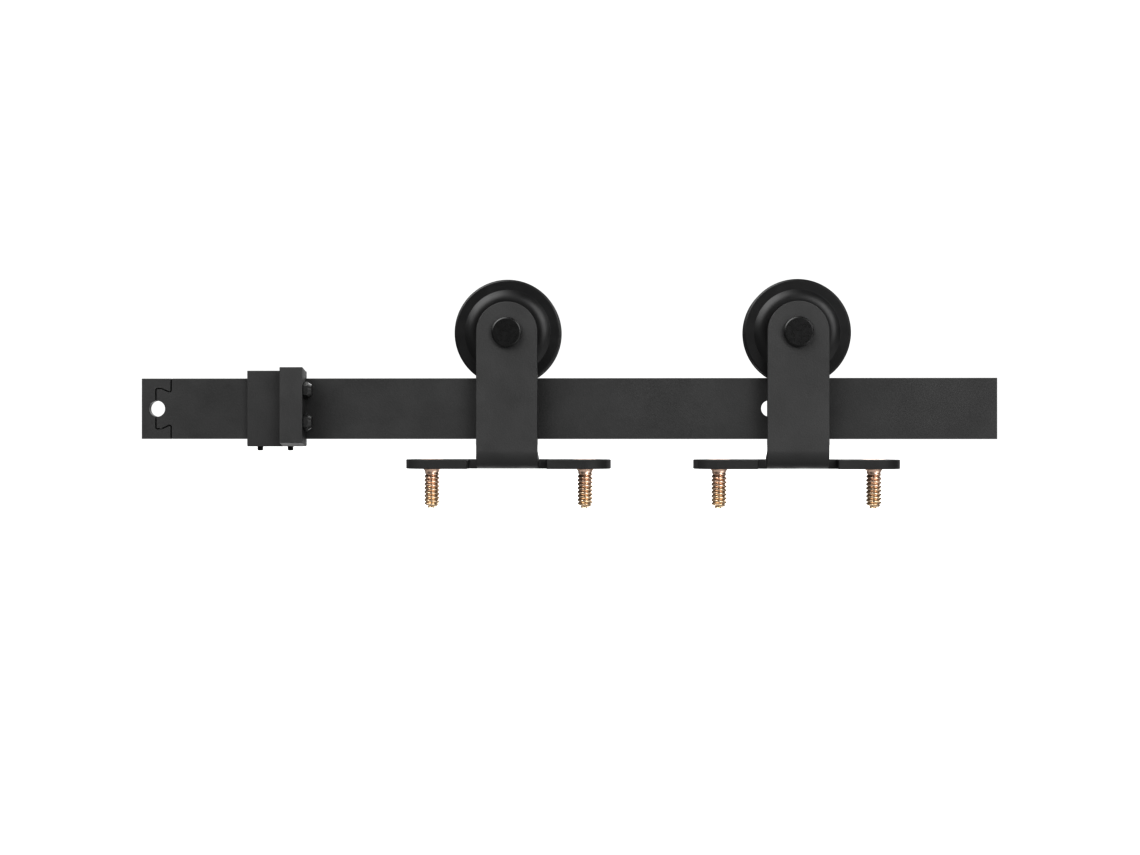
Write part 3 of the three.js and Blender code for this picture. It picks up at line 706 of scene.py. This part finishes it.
def make_bracket(side, coat, cut_edge_coat):
    """Strap and T plate, laid out flat and bent as the sheet is, a little swollen inside the bend."""
    node = f"{side}_hanger_bracket"
    low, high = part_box(node)
    axle = middle(f"{side}_axle_bolt")
    mean_radius = BEND_RADIUS - SHEET / 2
    bend_y = low[1] + BEND_RADIUS
    bend_z = low[2] + BEND_RADIUS
    bend_end = mean_radius * math.pi / 2
    screw_y = middle(f"{side}_plate_screw_outer").y
    wing_front_y = screw_y - PLATE_DEPTH / 2

    def sheet_at(y):
        return bend_end + y - bend_y

    half = (high[0] - low[0]) / 2
    notch = STRAP_HALF + NOTCH_WIDTH
    strap_top = bend_z - high[2]
    front = sheet_at(wing_front_y)
    rear = sheet_at(high[1])
    relief = sheet_at(wing_front_y + NOTCH_DEPTH)
    tip = PLATE_DEPTH / 2 - SLIVER
    blank = rounded([
        (-STRAP_HALF, strap_top, STRAP_HALF - SLIVER),
        (STRAP_HALF, strap_top, STRAP_HALF - SLIVER),
        (STRAP_HALF, relief, NOTCH_CORNER),
        (notch, relief, NOTCH_END),
        (notch, front, NOTCH_CORNER),
        (half, front, tip),
        (half, rear, tip),
        (-half, rear, tip),
        (-half, front, tip),
        (-notch, front, NOTCH_CORNER),
        (-notch, relief, NOTCH_END),
        (-STRAP_HALF, relief, NOTCH_CORNER),
    ], 14)
    screw_x = middle(f"{side}_plate_screw_outer").x - axle.x
    screw_at = sheet_at(screw_y)
    holes = [
        circle(0, bend_z - axle.z, AXLE_HOLE),
        circle(screw_x, screw_at, SCREW_NECK + GAP),
        circle(-screw_x, screw_at, SCREW_NECK + GAP),
    ]
    bm = plate([blank, *holes], SHEET, SHEET_EDGE)
    for k in range(BEND_STEPS + 1):
        bmesh.ops.bisect_plane(bm, geom=[*bm.verts, *bm.edges, *bm.faces], dist=1e-7,
                               plane_co=(0, bend_end * k / BEND_STEPS, 0), plane_no=(0, 1, 0))

    def bend(across, along, out):
        x = axle.x + across
        if along > bend_end or abs(across) > STRAP_HALF + NOTCH_WIDTH / 2:
            return (x, bend_y + along - bend_end, low[2] + SHEET / 2 + out)
        if along < 0:
            return (x, low[1] + SHEET / 2 + out, bend_z - along)
        angle = along / mean_radius
        radius = mean_radius - out
        swell = math.sin(math.pi * (along / bend_end) ** BEND_FLARE_SKEW) * max(0, out / (SHEET / 2))
        x += BEND_FLARE * swell * (across / STRAP_HALF) ** BEND_FLARE_POWER
        return (x, bend_y - radius * math.cos(angle), bend_z - radius * math.sin(angle))

    place(bm, bend)
    cone = SCREW_HEAD - SCREW_NECK + GAP
    sinks = []
    for x in (screw_x, -screw_x):
        sink = turned("sink", [
            (0, SHEET - cone - BEYOND),
            (SCREW_NECK, SHEET - cone - BEYOND),
            (SCREW_NECK, SHEET - cone),
            (SCREW_NECK + cone + BEYOND, SHEET + BEYOND),
            (0, SHEET + BEYOND),
        ], 72)
        sinks.append(moved(sink, TURN_TO_Z, (axle.x + x, screw_y, low[2])))
    bracket = stand_in(node, cut(clean(bm, node), *sinks), coat)
    bracket.data.materials.append(cut_edge_coat)
    for face in bracket.data.polygons:
        on_wing = abs(face.center.x - axle.x) > STRAP_HALF + MM
        at_front = face.center.y < screw_y - PLATE_DEPTH / 4 and abs(face.normal.z) < 0.3
        face.material_index = 1 if on_wing and at_front else 0


def make_plate_screw(node, zinc):
    """A countersunk screw: hex socket, cone, flared neck and a coarse thread to a blunt tip."""
    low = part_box(node)[0]
    cone_start = SCREW_LENGTH - (SCREW_HEAD - SCREW_NECK) - SCREW_HEAD_RIM
    thread_end = UNDER_PLATE - SCREW_THREAD_TOP

    def crest(along):
        """The thread narrows to the waist over its last turns, and to the tip at its start."""
        share = min(1, max(0, (along - thread_end) / SCREW_PITCH + SCREW_WAIST_TURNS))
        return min(SCREW_CREST + (SCREW_WAIST - SCREW_CREST) * share, SCREW_TIP + along * SCREW_TIP_SLOPE)

    neck = []
    for k in range(SCREW_FLARE_STEPS + 1):
        share = k / SCREW_FLARE_STEPS
        neck.append((SCREW_WAIST + (SCREW_NECK - SCREW_WAIST) * share ** SCREW_FLARE_POWER,
                     thread_end + (UNDER_PLATE - SCREW_FLARE_TOP - thread_end) * share))
    body = turned(node, [
        (0, 0),
        *thread(crest, SCREW_THREAD, SCREW_PITCH, 0, thread_end, False, True, crest=0.4),
        *neck[1:],
        (SCREW_NECK, cone_start),
        (SCREW_HEAD, SCREW_LENGTH - SCREW_HEAD_RIM),
        (SCREW_HEAD, SCREW_LENGTH),
        (0, SCREW_LENGTH),
    ], 96, 50)
    socket = moved(hex_socket(SCREW_SOCKET, SCREW_SOCKET_DEPTH), TURN_TO_Z, (0, 0, SCREW_LENGTH))
    stand_in(node, cut(moved(body, TURN_TO_Z), socket), zinc, (middle(node).x, middle(node).y, low[2]))


# ---------------------------------------------------------------- rollers

FLANGE_HALF = 8 * MM
BOSS_RADIUS = 25 * MM
BOSS_EDGE = 11 * MM
BOSS_FOOT = 28.2 * MM
BOSS_FOOT_FILLET = 0.4 * MM
RIM_EDGE = 0.4 * MM
RIM_CHAMFER = 1.1 * MM
RIM_CHAMFER_EDGE = 0.5 * MM
LOW_CHAMFER = math.tan(math.radians(25))
LIP_EDGE = 0.5 * MM
POCKET_MOUTH = 0.4 * MM
POCKET_CORNER = 0.2 * MM
GROOVE_RADIUS = 29.5 * MM
GROOVE_FLOOR = 3.9 * MM
GROOVE_MOUTH = 5 * MM
GROOVE_FILLET = 0.8 * MM
LIP_RADIUS = 10.8 * MM
OUTER_RACE_INSIDE = 12.6 * MM
INNER_RACE_OUTSIDE = 8.2 * MM
BALL_CIRCLE = 10.4 * MM
BALL_RADIUS = 2.4 * MM
BALL_CLEARANCE = 0.05 * MM
BALL_COUNT = 8
BAND_HALF = 0.6 * MM
BAND_EDGE = 0.2 * MM
RACE_INNER_EDGE = 0.3 * MM
RACE_OUTER_EDGE = 0.5 * MM
RING_EDGE = 0.4 * MM


def make_wheel(side, nylon):
    """A grooved wheel with a raised centre on both sides and a pocket for the bearing."""
    node = f"{side}_wheel"
    low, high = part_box(node)
    half = (high[1] - low[1]) / 2
    rim = (high[0] - low[0]) / 2
    race_low, race_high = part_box(f"{side}_bearing_outer_race")
    pocket = (race_high[0] - race_low[0]) / 2 + GAP
    floor = -(race_high[1] - race_low[1]) / 2 - GAP
    profile = rounded([
        (LIP_RADIUS, -half, LIP_EDGE),
        (BOSS_RADIUS, -half, BOSS_EDGE),
        (BOSS_FOOT, -FLANGE_HALF, BOSS_FOOT_FILLET),
        (rim - RIM_CHAMFER, -FLANGE_HALF, RIM_CHAMFER_EDGE),
        (rim, -FLANGE_HALF + RIM_CHAMFER * LOW_CHAMFER, RIM_EDGE),
        (rim, -GROOVE_MOUTH, RIM_EDGE),
        (GROOVE_RADIUS, -GROOVE_FLOOR, GROOVE_FILLET),
        (GROOVE_RADIUS, GROOVE_FLOOR, GROOVE_FILLET),
        (rim, GROOVE_MOUTH, RIM_EDGE),
        (rim, FLANGE_HALF - RIM_CHAMFER * LOW_CHAMFER, RIM_EDGE),
        (rim - RIM_CHAMFER, FLANGE_HALF, RIM_CHAMFER_EDGE),
        (BOSS_FOOT, FLANGE_HALF, BOSS_FOOT_FILLET),
        (BOSS_RADIUS, half, BOSS_EDGE),
        (pocket, half, POCKET_MOUTH),
        (pocket, floor, POCKET_CORNER),
        (LIP_RADIUS, floor, POCKET_CORNER),
    ])
    stand_in(node, turned(node, profile, 160), nylon, middle(node))


def track(radius, from_turn, to_turn, steps=10):
    """The arc that a ball runs in, as (radius, along) points."""
    turns = [from_turn + (to_turn - from_turn) * k / steps for k in range(steps + 1)]
    return [Vector((BALL_CIRCLE + radius * math.cos(t), radius * math.sin(t))) for t in turns]


def make_bearing(side, steel):
    """Both races of a ball bearing, each with the track of the balls, and the balls in their band."""
    outer, inner, cage = (f"{side}_bearing_{part}" for part in ("outer_race", "inner_race", "ball_cage"))
    low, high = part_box(outer)
    half = (high[1] - low[1]) / 2
    groove = BALL_RADIUS + BALL_CLEARANCE
    mouth = math.acos((OUTER_RACE_INSIDE - BALL_CIRCLE) / groove)
    outside = (high[0] - low[0]) / 2
    profile = rounded([
        (OUTER_RACE_INSIDE, -half, RACE_INNER_EDGE),
        (outside, -half, RACE_OUTER_EDGE),
        (outside, half, RACE_OUTER_EDGE),
        (OUTER_RACE_INSIDE, half, RACE_INNER_EDGE),
    ], 4)
    stand_in(outer, turned(outer, profile + track(groove, mouth, -mouth)), steel, middle(outer))
    mouth = math.acos((BALL_CIRCLE - INNER_RACE_OUTSIDE) / groove)
    lower = rounded([
        (AXLE_HOLE, -half, RACE_INNER_EDGE),
        (INNER_RACE_OUTSIDE, -half, RACE_INNER_EDGE),
        (INNER_RACE_OUTSIDE, 0),
        (AXLE_HOLE, 0),
    ], 4)[:-2]
    upper = [Vector((p.x, -p.y)) for p in reversed(lower)]
    profile = lower + track(groove, math.pi + mouth, math.pi - mouth) + upper
    stand_in(inner, turned(inner, profile), steel, middle(inner))
    make_cage(cage, steel)


def make_cage(node, steel):
    """A pressed band with its balls."""
    low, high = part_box(node)
    half = (high[1] - low[1]) / 2
    band = turned(node, rounded([
        (BALL_CIRCLE - BAND_HALF, -half, BAND_EDGE),
        (BALL_CIRCLE + BAND_HALF, -half, BAND_EDGE),
        (BALL_CIRCLE + BAND_HALF, half, BAND_EDGE),
        (BALL_CIRCLE - BAND_HALF, half, BAND_EDGE),
    ], 3))
    balls = []
    for k in range(BALL_COUNT):
        turn = math.tau * k / BALL_COUNT
        bm = bmesh.new()
        bmesh.ops.create_icosphere(bm, subdivisions=4, radius=BALL_RADIUS)
        centre = (BALL_CIRCLE * math.cos(turn), 0, BALL_CIRCLE * math.sin(turn))
        balls.append(moved(clean(bm, "ball"), by=centre))
    stand_in(node, combined("UNION", band, *balls), steel, middle(node))


def make_ring(node, steel):
    """A spacer or washer on the axle."""
    low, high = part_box(node)
    half = (high[1] - low[1]) / 2
    outside = (high[0] - low[0]) / 2
    profile = rounded([
        (AXLE_HOLE, -half, RING_EDGE),
        (outside, -half, RING_EDGE),
        (outside, half, RING_EDGE),
        (AXLE_HOLE, half, RING_EDGE),
    ], 4)
    stand_in(node, turned(node, profile), steel, middle(node))


HEAD_HEIGHT = 3.3 * MM
HEAD_EDGE = 0.3 * MM
HEAD_CHAMFER = 1 * MM
AXLE_RADIUS = 5 * MM
AXLE_THREAD = 13 * MM
AXLE_THREAD_DEPTH = 0.8 * MM
AXLE_PITCH = 1.5 * MM
AXLE_END = 1 * MM
NUT_HEX_SHARE = 0.7
NUT_CORNER = 0.2 * MM
NUT_MOUTH = 0.3 * MM
COLLAR_INSET = 0.5 * MM
COLLAR_EDGE = 1.6 * MM
COLLAR_MOUTH = 0.5 * MM
COLLAR_STEPS = 6


def make_axle_bolt(side, steel):
    """A low round head on a plain shank with a threaded end."""
    node = f"{side}_axle_bolt"
    low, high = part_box(node)
    length = high[1] - low[1]
    head = (high[0] - low[0]) / 2
    start = length - AXLE_THREAD
    bolt = turned(node, [
        *rounded([
            (0, 0),
            (head - HEAD_CHAMFER, 0, HEAD_EDGE),
            (head, HEAD_CHAMFER * LOW_CHAMFER, HEAD_EDGE),
            (head, HEAD_HEIGHT, HEAD_EDGE),
            (AXLE_RADIUS, HEAD_HEIGHT, HEAD_EDGE),
            (AXLE_RADIUS, start),
            (0, start),
        ])[:-1],
        *thread(lambda along: min(AXLE_RADIUS, AXLE_RADIUS - (along - length + AXLE_END)),
                AXLE_THREAD_DEPTH, AXLE_PITCH, start, length, True, False, 12),
        (0, length),
    ], 120)
    stand_in(node, bolt, steel, (middle(node).x, low[1], middle(node).z))


def make_lock_nut(side, steel):
    """A hexagon nut with the rounded collar of a lock nut."""
    node = f"{side}_lock_nut"
    low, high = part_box(node)
    flats = high[0] - low[0]
    height = high[1] - low[1]
    hex_top = height * NUT_HEX_SHARE
    face = flats / 2 - NUT_CORNER
    collar = flats / 2 - COLLAR_INSET
    turns = [math.pi / 2 * k / COLLAR_STEPS for k in range(COLLAR_STEPS + 1)]
    nut = turned(node, [
        (AXLE_HOLE, NUT_MOUTH),
        (AXLE_HOLE + NUT_MOUTH, 0),
        (face, 0),
        hexagon(flats, 0, face, CHAMFER),
        hexagon(flats, hex_top, face, -CHAMFER),
        (face, hex_top),
        (collar, hex_top + NUT_CORNER),
        *((collar - COLLAR_EDGE * (1 - math.cos(t)), height - COLLAR_EDGE * (1 - math.sin(t)))
          for t in turns),
        (AXLE_HOLE + COLLAR_MOUTH, height),
        (AXLE_HOLE, height - COLLAR_MOUTH),
    ], 144, 20)
    stand_in(node, nut, steel, (middle(node).x, low[1], middle(node).z))


# ---------------------------------------------------------------- studio

FLOOR_Z = -300 * MM
FLOOR_SIZE = 60
CAMERA_DISTANCE = 1250 * MM
CAMERA_TURN = math.radians(2.04)
CAMERA_TARGET = Vector((2.6 * MM, -6 * MM, -12.5 * MM))
CAMERA_LENS = 59.8
ROOM_STRENGTH = 0.07
SIDE_STRENGTH = 0.3
SURROUND_STRENGTH = 0.11

# Soft lights: the direction to each, the cosines at which its light starts and is full, its strength
SOFT_LIGHTS = (
    (Vector((-0.5, -0.55, 0.67)), 0.82, 0.98, 2.95),
    (Vector((0.49, -0.8, 0.32)), 0.91, 0.985, 2.8),
    (Vector((0.72, -0.52, -0.46)), 0.86, 0.98, 0.65),
    (Vector((0, -0.75, -0.66)), 0.5, 1, 0.2),
    (Vector((0, 0.85, -0.53)), 0.87, 0.97, 0.9),
    (Vector((0.4, 0.9, 0.1)), 0.93, 0.98, 0.5),
    (Vector((0.35, 0.6, 0.72)), 0.75, 0.95, 1.6),
)
VIEW_EXPOSURE = 1.43
VIEW_GAMMA = 0.67

# What the eye sees as white stays close to the white of the picture, so that edges against it stay smooth
SEEN_WHITE = 1.04 / 2 ** VIEW_EXPOSURE
FLOOR_GREY = (0.1, 0.1, 0.1, 1)
FLOOR_GLOW = SEEN_WHITE * 1.06


def make_floor():
    """A pale floor that glows for the eye alone, so that it lights nothing and is not mirrored."""
    bpy.ops.mesh.primitive_plane_add(size=FLOOR_SIZE, location=(0, 0, FLOOR_Z))
    floor = bpy.context.object
    floor.name = "floor"
    floor.visible_diffuse = False
    floor.visible_glossy = False
    s = Shader("pale_floor")
    pale = s.ramp(s.noise(3), (0.3, (0.93, 0.93, 0.93)), (0.7, (0.96, 0.96, 0.96)))
    s.link(pale, s.surface.inputs["Emission Color"])
    s.set(Base_Color=FLOOR_GREY, Roughness=0.9, Emission_Strength=FLOOR_GLOW)
    floor.data.materials.append(s.material)


def make_world():
    """White to the eye. The object is lit by a dim room in front, a paler band at its sides, a dim
    wall behind it, and the soft lights.
    """
    world = bpy.data.worlds.new("studio")
    bpy.context.scene.world = world
    world.use_nodes = True
    tree = world.node_tree
    tree.nodes.clear()
    direction = tree.nodes.new("ShaderNodeTexCoord").outputs["Generated"]

    def facing(axis, low, high, dark, light):
        """A strength that grows from dark to light as the direction turns towards an axis."""
        dot = tree.nodes.new("ShaderNodeVectorMath")
        dot.operation = "DOT_PRODUCT"
        tree.links.new(direction, dot.inputs[0])
        dot.inputs[1].default_value = axis
        ramp = tree.nodes.new("ShaderNodeMapRange")
        ramp.interpolation_type = "SMOOTHSTEP"
        tree.links.new(dot.outputs["Value"], ramp.inputs["Value"])
        for key, value in zip(("From Min", "From Max", "To Min", "To Max"), (low, high, dark, light)):
            ramp.inputs[key].default_value = value
        return ramp.outputs["Result"]

    total = facing((0, 1, 0), -0.4, 0, ROOM_STRENGTH, SIDE_STRENGTH)
    for light in (
        facing((0, 1, 0), 0, 0.5, 0, SURROUND_STRENGTH - SIDE_STRENGTH),
        *(facing(axis.normalized(), low, high, 0, strength) for axis, low, high, strength in SOFT_LIGHTS),
    ):
        add = tree.nodes.new("ShaderNodeMath")
        tree.links.new(total, add.inputs[0])
        tree.links.new(light, add.inputs[1])
        total = add.outputs["Value"]
    lit = tree.nodes.new("ShaderNodeBackground")
    seen = tree.nodes.new("ShaderNodeBackground")
    path = tree.nodes.new("ShaderNodeLightPath")
    mix = tree.nodes.new("ShaderNodeMixShader")
    output = tree.nodes.new("ShaderNodeOutputWorld")
    tree.links.new(total, lit.inputs["Strength"])
    tree.links.new(path.outputs["Is Camera Ray"], mix.inputs["Fac"])
    tree.links.new(lit.outputs["Background"], mix.inputs[1])
    tree.links.new(seen.outputs["Background"], mix.inputs[2])
    tree.links.new(mix.outputs["Shader"], output.inputs["Surface"])
    for node in (lit, seen):
        node.inputs["Color"].default_value = (1, 1, 1, 1)
    seen.inputs["Strength"].default_value = SEEN_WHITE


def make_camera():
    """The room's view of the hardware, straight on and a little from the right."""
    data = bpy.data.cameras.new("camera")
    data.sensor_width = 36
    data.lens = CAMERA_LENS
    camera = bpy.data.objects.new("camera", data)
    bpy.context.collection.objects.link(camera)
    back = Vector((math.sin(CAMERA_TURN), -math.cos(CAMERA_TURN), 0))
    camera.location = CAMERA_TARGET + back * CAMERA_DISTANCE
    camera.rotation_euler = (-back).to_track_quat("-Z", "Y").to_euler()
    bpy.context.scene.camera = camera


def make_studio():
    """Camera, floor, light and the picture's tones."""
    make_camera()
    make_floor()
    make_world()
    view = bpy.context.scene.view_settings
    view.view_transform = "Standard"
    view.exposure = VIEW_EXPOSURE
    view.gamma = VIEW_GAMMA


# ---------------------------------------------------------------- the whole object

make_studio()
coat = powder_coat("matte_black_powder_coat")
cut_edge_coat = powder_coat("matte_black_powder_coat_on_cut_edge", 0.8)
# A lighter copy of the same coat for the straps and the stop bar: painted light for the extra light these
# proud pieces catch.
painted_light_coat = powder_coat("matte_black_powder_coat_painted_lighter", 1.14)
nylon = wheel_nylon()
oxide = black_oxide("black_oxide_steel", 0.006)
# A lighter copy of the black oxide for the bumper bolts: painted light, standing in for the light that the
# stop bar shades off them.
painted_light_bumper_oxide = black_oxide("black_oxide_steel_painted_lighter_on_bumpers", 0.02)
ground_steel = bearing_steel()
zinc = yellow_zinc()

make_rail(coat)
make_stop_body(coat)
make_stop_bar(painted_light_coat)
for part in ("stop_upper_bumper_bolt", "stop_lower_bumper_bolt"):
    make_bumper_bolt(part, painted_light_bumper_oxide)
for part in ("stop_left_grub_screw", "stop_right_grub_screw"):
    make_grub_screw(part, oxide)
for side in ("left", "right"):
    make_bracket(side, painted_light_coat, cut_edge_coat)
    make_plate_screw(f"{side}_plate_screw_outer", zinc)
    make_plate_screw(f"{side}_plate_screw_inner", zinc)
    make_wheel(side, nylon)
    make_bearing(side, ground_steel)
    make_ring(f"{side}_front_spacer", oxide)
    make_ring(f"{side}_rear_spacer", oxide)
    make_ring(f"{side}_axle_washer", oxide)
    make_axle_bolt(side, oxide)
    make_lock_nut(side, oxide)
